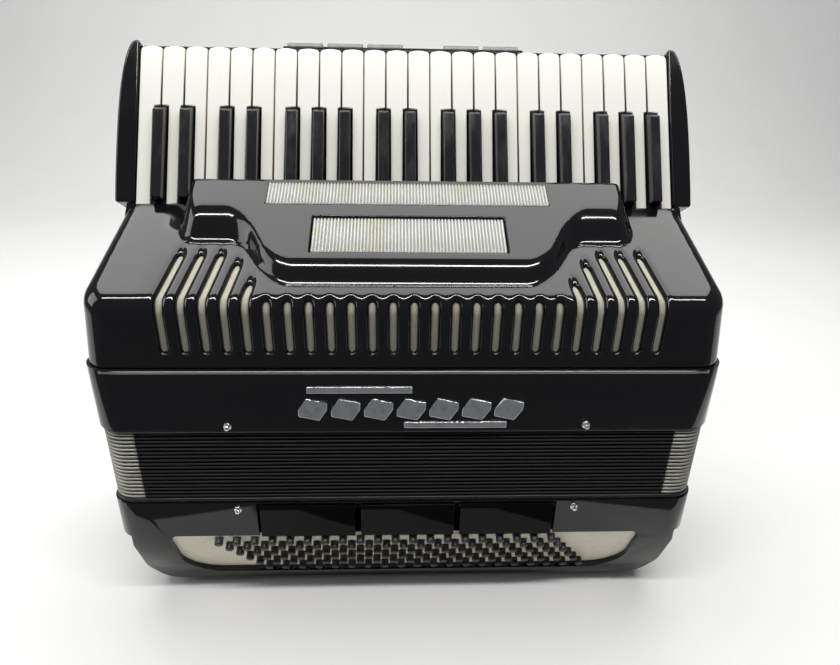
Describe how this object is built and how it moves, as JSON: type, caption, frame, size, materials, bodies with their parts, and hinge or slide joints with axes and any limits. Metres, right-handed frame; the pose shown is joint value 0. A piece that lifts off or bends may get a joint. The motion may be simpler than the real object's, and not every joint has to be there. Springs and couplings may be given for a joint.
{
  "type": "piano accordion",
  "caption": "Full-size piano accordion standing on its bass feet, black gloss cases, closed pleated bellows, hinged keyboard, louvred grille cover, sliding bass buttons and register switches.",
  "frame": {"origin": "on the floor under the middle of the instrument, as it stands on its bass feet", "axes": "+X along the keyboard to the low notes, -Y the front that faces an audience, +Z from the feet up to the key tips"},
  "size_m": [0.524, 0.2282, 0.4901],
  "materials": {
    "black_gloss": "polished black celluloid",
    "silver_screen": "ribbed silver, faint yellowing",
    "grille_cloth": "woven cream cloth",
    "steel": "plain",
    "spruce": "bare wood, waxed",
    "black_wood": "black stained",
    "bright_trim": "polished",
    "bellows_card": "black cloth-covered card",
    "cream_board": "satin cream",
    "button_black": "black, domed",
    "strap_leather": "black-brown grain leather",
    "rubber_foot": "matt",
    "register_black": "polished black",
    "tab_dark": "dark grey",
    "key_white": "ivory white, polished",
    "key_black": "black, polished"
  },
  "bodies": {
    "bass_section": {"bellows": "bellows_card", "bass_bellows_frame": "black_wood", "bass_case": "black_gloss", "bass_plate": "black_gloss", "button_board": "cream_board", "bass_reed_blocks": "spruce", "bass_strap": "strap_leather", "feet": "rubber_foot"},
    "treble_section": {"treble_case": "black_gloss", "grille_cover": "black_gloss", "grille_screens": "silver_screen", "grille_cloth": "grille_cloth", "key_bed": "black_gloss", "key_rod": "steel", "treble_reed_blocks": "spruce", "treble_bellows_frame": "black_wood", "nameplate": "bright_trim", "strap_brackets": "bright_trim"},
    "bass_buttons": {"bass_buttons": "button_black"},
    "strap_wheel": {"strap_wheel": "steel"},
    "air_button": {"air_button": "bright_trim"},
    "bass_register_1": {"bass_register_1": "register_black"},
    "bass_register_2": {"bass_register_2": "register_black"},
    "bass_register_3": {"bass_register_3": "register_black"},
    "register_tab_1": {"register_tab_1": "tab_dark"},
    "register_tab_2": {"register_tab_2": "tab_dark"},
    "register_tab_3": {"register_tab_3": "tab_dark"},
    "register_tab_4": {"register_tab_4": "tab_dark"},
    "register_tab_5": {"register_tab_5": "tab_dark"},
    "white_key_1": {"white_key_1": "key_white"},
    "white_key_2": {"white_key_2": "key_white"},
    "white_key_3": {"white_key_3": "key_white"},
    "white_key_4": {"white_key_4": "key_white"},
    "white_key_5": {"white_key_5": "key_white"},
    "white_key_6": {"white_key_6": "key_white"},
    "white_key_7": {"white_key_7": "key_white"},
    "white_key_8": {"white_key_8": "key_white"},
    "white_key_9": {"white_key_9": "key_white"},
    "white_key_10": {"white_key_10": "key_white"},
    "white_key_11": {"white_key_11": "key_white"},
    "white_key_12": {"white_key_12": "key_white"},
    "white_key_13": {"white_key_13": "key_white"},
    "white_key_14": {"white_key_14": "key_white"},
    "white_key_15": {"white_key_15": "key_white"},
    "white_key_16": {"white_key_16": "key_white"},
    "white_key_17": {"white_key_17": "key_white"},
    "white_key_18": {"white_key_18": "key_white"},
    "white_key_19": {"white_key_19": "key_white"},
    "white_key_20": {"white_key_20": "key_white"},
    "white_key_21": {"white_key_21": "key_white"},
    "white_key_22": {"white_key_22": "key_white"},
    "white_key_23": {"white_key_23": "key_white"},
    "white_key_24": {"white_key_24": "key_white"},
    "black_keys_1": {"black_keys_1": "key_black"},
    "black_keys_2": {"black_keys_2": "key_black"},
    "black_keys_3": {"black_keys_3": "key_black"},
    "black_keys_4": {"black_keys_4": "key_black"},
    "black_keys_5": {"black_keys_5": "key_black"},
    "black_keys_6": {"black_keys_6": "key_black"},
    "black_keys_7": {"black_keys_7": "key_black"}
  },
  "joints": [
    {"name": "bellows_opening", "type": "slide", "parent": "bass_section", "child": "treble_section", "axis": [0, 0, 1], "range_m": [0, 0.34], "deforming": ["bellows"]},
    {"name": "bass_register_1_rock", "type": "hinge", "parent": "bass_section", "child": "bass_register_1", "pos_m": [-0.0888, -0.109, 0.117], "axis": [1, 0, 0], "range_deg": [0, 4]},
    {"name": "bass_register_2_rock", "type": "hinge", "parent": "bass_section", "child": "bass_register_2", "pos_m": [0, -0.109, 0.117], "axis": [1, 0, 0], "range_deg": [0, 4]},
    {"name": "bass_register_3_rock", "type": "hinge", "parent": "bass_section", "child": "bass_register_3", "pos_m": [0.0888, -0.109, 0.117], "axis": [1, 0, 0], "range_deg": [0, 4]},
    {"name": "bass_buttons_press", "type": "slide", "parent": "bass_section", "child": "bass_buttons", "axis": [0, 0.9078, 0.4195], "range_m": [0, 0.0035], "stiffness_N_per_m": 500, "springref_m": -0.004},
    {"name": "air_button_press", "type": "slide", "parent": "bass_section", "child": "air_button", "axis": [0, 0, 1], "range_m": [0, 0.0032], "stiffness_N_per_m": 400, "springref_m": -0.004},
    {"name": "strap_wheel_turn", "type": "hinge", "parent": "bass_section", "child": "strap_wheel", "pos_m": [0.249, 0.012, 0.052], "axis": [1, 0, 0], "range_deg": [0, 900]},
    {"name": "register_tab_1_press", "type": "slide", "parent": "treble_section", "child": "register_tab_1", "axis": [0, 0.8704, -0.4924], "range_m": [0, 0.004]},
    {"name": "register_tab_2_press", "type": "slide", "parent": "treble_section", "child": "register_tab_2", "axis": [0, 0.8704, -0.4924], "range_m": [0, 0.004]},
    {"name": "register_tab_3_press", "type": "slide", "parent": "treble_section", "child": "register_tab_3", "axis": [0, 0.8704, -0.4924], "range_m": [0, 0.004]},
    {"name": "register_tab_4_press", "type": "slide", "parent": "treble_section", "child": "register_tab_4", "axis": [0, 0.8704, -0.4924], "range_m": [0, 0.004]},
    {"name": "register_tab_5_press", "type": "slide", "parent": "treble_section", "child": "register_tab_5", "axis": [0, 0.8704, -0.4924], "range_m": [0, 0.004]},
    {"name": "white_key_1_press", "type": "hinge", "parent": "treble_section", "child": "white_key_1", "pos_m": [0, 0.00339, 0.3369], "axis": [-1, 0, 0], "range_deg": [0, 2], "stiffness_Nm_per_rad": 0.5, "springref_deg": -8.59},
    {"name": "white_key_2_press", "type": "hinge", "parent": "treble_section", "child": "white_key_2", "pos_m": [0, 0.00339, 0.3369], "axis": [-1, 0, 0], "range_deg": [0, 2], "stiffness_Nm_per_rad": 0.5, "springref_deg": -8.59},
    {"name": "white_key_3_press", "type": "hinge", "parent": "treble_section", "child": "white_key_3", "pos_m": [0, 0.00339, 0.3369], "axis": [-1, 0, 0], "range_deg": [0, 2], "stiffness_Nm_per_rad": 0.5, "springref_deg": -8.59},
    {"name": "white_key_4_press", "type": "hinge", "parent": "treble_section", "child": "white_key_4", "pos_m": [0, 0.00339, 0.3369], "axis": [-1, 0, 0], "range_deg": [0, 2], "stiffness_Nm_per_rad": 0.5, "springref_deg": -8.59},
    {"name": "white_key_5_press", "type": "hinge", "parent": "treble_section", "child": "white_key_5", "pos_m": [0, 0.00339, 0.3369], "axis": [-1, 0, 0], "range_deg": [0, 2], "stiffness_Nm_per_rad": 0.5, "springref_deg": -8.59},
    {"name": "white_key_6_press", "type": "hinge", "parent": "treble_section", "child": "white_key_6", "pos_m": [0, 0.00339, 0.3369], "axis": [-1, 0, 0], "range_deg": [0, 2], "stiffness_Nm_per_rad": 0.5, "springref_deg": -8.59},
    {"name": "white_key_7_press", "type": "hinge", "parent": "treble_section", "child": "white_key_7", "pos_m": [0, 0.00339, 0.3369], "axis": [-1, 0, 0], "range_deg": [0, 2], "stiffness_Nm_per_rad": 0.5, "springref_deg": -8.59},
    {"name": "white_key_8_press", "type": "hinge", "parent": "treble_section", "child": "white_key_8", "pos_m": [0, 0.00339, 0.3369], "axis": [-1, 0, 0], "range_deg": [0, 2], "stiffness_Nm_per_rad": 0.5, "springref_deg": -8.59},
    {"name": "white_key_9_press", "type": "hinge", "parent": "treble_section", "child": "white_key_9", "pos_m": [0, 0.00339, 0.3369], "axis": [-1, 0, 0], "range_deg": [0, 2], "stiffness_Nm_per_rad": 0.5, "springref_deg": -8.59},
    {"name": "white_key_10_press", "type": "hinge", "parent": "treble_section", "child": "white_key_10", "pos_m": [0, 0.00339, 0.3369], "axis": [-1, 0, 0], "range_deg": [0, 2], "stiffness_Nm_per_rad": 0.5, "springref_deg": -8.59},
    {"name": "white_key_11_press", "type": "hinge", "parent": "treble_section", "child": "white_key_11", "pos_m": [0, 0.00339, 0.3369], "axis": [-1, 0, 0], "range_deg": [0, 2], "stiffness_Nm_per_rad": 0.5, "springref_deg": -8.59},
    {"name": "white_key_12_press", "type": "hinge", "parent": "treble_section", "child": "white_key_12", "pos_m": [0, 0.00339, 0.3369], "axis": [-1, 0, 0], "range_deg": [0, 2], "stiffness_Nm_per_rad": 0.5, "springref_deg": -8.59},
    {"name": "white_key_13_press", "type": "hinge", "parent": "treble_section", "child": "white_key_13", "pos_m": [0, 0.00339, 0.3369], "axis": [-1, 0, 0], "range_deg": [0, 2], "stiffness_Nm_per_rad": 0.5, "springref_deg": -8.59},
    {"name": "white_key_14_press", "type": "hinge", "parent": "treble_section", "child": "white_key_14", "pos_m": [0, 0.00339, 0.3369], "axis": [-1, 0, 0], "range_deg": [0, 2], "stiffness_Nm_per_rad": 0.5, "springref_deg": -8.59},
    {"name": "white_key_15_press", "type": "hinge", "parent": "treble_section", "child": "white_key_15", "pos_m": [0, 0.00339, 0.3369], "axis": [-1, 0, 0], "range_deg": [0, 2], "stiffness_Nm_per_rad": 0.5, "springref_deg": -8.59},
    {"name": "white_key_16_press", "type": "hinge", "parent": "treble_section", "child": "white_key_16", "pos_m": [0, 0.00339, 0.3369], "axis": [-1, 0, 0], "range_deg": [0, 2], "stiffness_Nm_per_rad": 0.5, "springref_deg": -8.59},
    {"name": "white_key_17_press", "type": "hinge", "parent": "treble_section", "child": "white_key_17", "pos_m": [0, 0.00339, 0.3369], "axis": [-1, 0, 0], "range_deg": [0, 2], "stiffness_Nm_per_rad": 0.5, "springref_deg": -8.59},
    {"name": "white_key_18_press", "type": "hinge", "parent": "treble_section", "child": "white_key_18", "pos_m": [0, 0.00339, 0.3369], "axis": [-1, 0, 0], "range_deg": [0, 2], "stiffness_Nm_per_rad": 0.5, "springref_deg": -8.59},
    {"name": "white_key_19_press", "type": "hinge", "parent": "treble_section", "child": "white_key_19", "pos_m": [0, 0.00339, 0.3369], "axis": [-1, 0, 0], "range_deg": [0, 2], "stiffness_Nm_per_rad": 0.5, "springref_deg": -8.59},
    {"name": "white_key_20_press", "type": "hinge", "parent": "treble_section", "child": "white_key_20", "pos_m": [0, 0.00339, 0.3369], "axis": [-1, 0, 0], "range_deg": [0, 2], "stiffness_Nm_per_rad": 0.5, "springref_deg": -8.59},
    {"name": "white_key_21_press", "type": "hinge", "parent": "treble_section", "child": "white_key_21", "pos_m": [0, 0.00339, 0.3369], "axis": [-1, 0, 0], "range_deg": [0, 2], "stiffness_Nm_per_rad": 0.5, "springref_deg": -8.59},
    {"name": "white_key_22_press", "type": "hinge", "parent": "treble_section", "child": "white_key_22", "pos_m": [0, 0.00339, 0.3369], "axis": [-1, 0, 0], "range_deg": [0, 2], "stiffness_Nm_per_rad": 0.5, "springref_deg": -8.59},
    {"name": "white_key_23_press", "type": "hinge", "parent": "treble_section", "child": "white_key_23", "pos_m": [0, 0.00339, 0.3369], "axis": [-1, 0, 0], "range_deg": [0, 2], "stiffness_Nm_per_rad": 0.5, "springref_deg": -8.59},
    {"name": "white_key_24_press", "type": "hinge", "parent": "treble_section", "child": "white_key_24", "pos_m": [0, 0.00339, 0.3369], "axis": [-1, 0, 0], "range_deg": [0, 2], "stiffness_Nm_per_rad": 0.5, "springref_deg": -8.59},
    {"name": "black_keys_1_press", "type": "hinge", "parent": "treble_section", "child": "black_keys_1", "pos_m": [0, 0.00339, 0.3369], "axis": [-1, 0, 0], "range_deg": [0, 2], "stiffness_Nm_per_rad": 1, "springref_deg": -8.59},
    {"name": "black_keys_2_press", "type": "hinge", "parent": "treble_section", "child": "black_keys_2", "pos_m": [0, 0.00339, 0.3369], "axis": [-1, 0, 0], "range_deg": [0, 2], "stiffness_Nm_per_rad": 1, "springref_deg": -8.59},
    {"name": "black_keys_3_press", "type": "hinge", "parent": "treble_section", "child": "black_keys_3", "pos_m": [0, 0.00339, 0.3369], "axis": [-1, 0, 0], "range_deg": [0, 2], "stiffness_Nm_per_rad": 1.5, "springref_deg": -8.59},
    {"name": "black_keys_4_press", "type": "hinge", "parent": "treble_section", "child": "black_keys_4", "pos_m": [0, 0.00339, 0.3369], "axis": [-1, 0, 0], "range_deg": [0, 2], "stiffness_Nm_per_rad": 1, "springref_deg": -8.59},
    {"name": "black_keys_5_press", "type": "hinge", "parent": "treble_section", "child": "black_keys_5", "pos_m": [0, 0.00339, 0.3369], "axis": [-1, 0, 0], "range_deg": [0, 2], "stiffness_Nm_per_rad": 1.5, "springref_deg": -8.59},
    {"name": "black_keys_6_press", "type": "hinge", "parent": "treble_section", "child": "black_keys_6", "pos_m": [0, 0.00339, 0.3369], "axis": [-1, 0, 0], "range_deg": [0, 2], "stiffness_Nm_per_rad": 1, "springref_deg": -8.59},
    {"name": "black_keys_7_press", "type": "hinge", "parent": "treble_section", "child": "black_keys_7", "pos_m": [0, 0.00339, 0.3369], "axis": [-1, 0, 0], "range_deg": [0, 2], "stiffness_Nm_per_rad": 1.5, "springref_deg": -8.59}
  ]
}
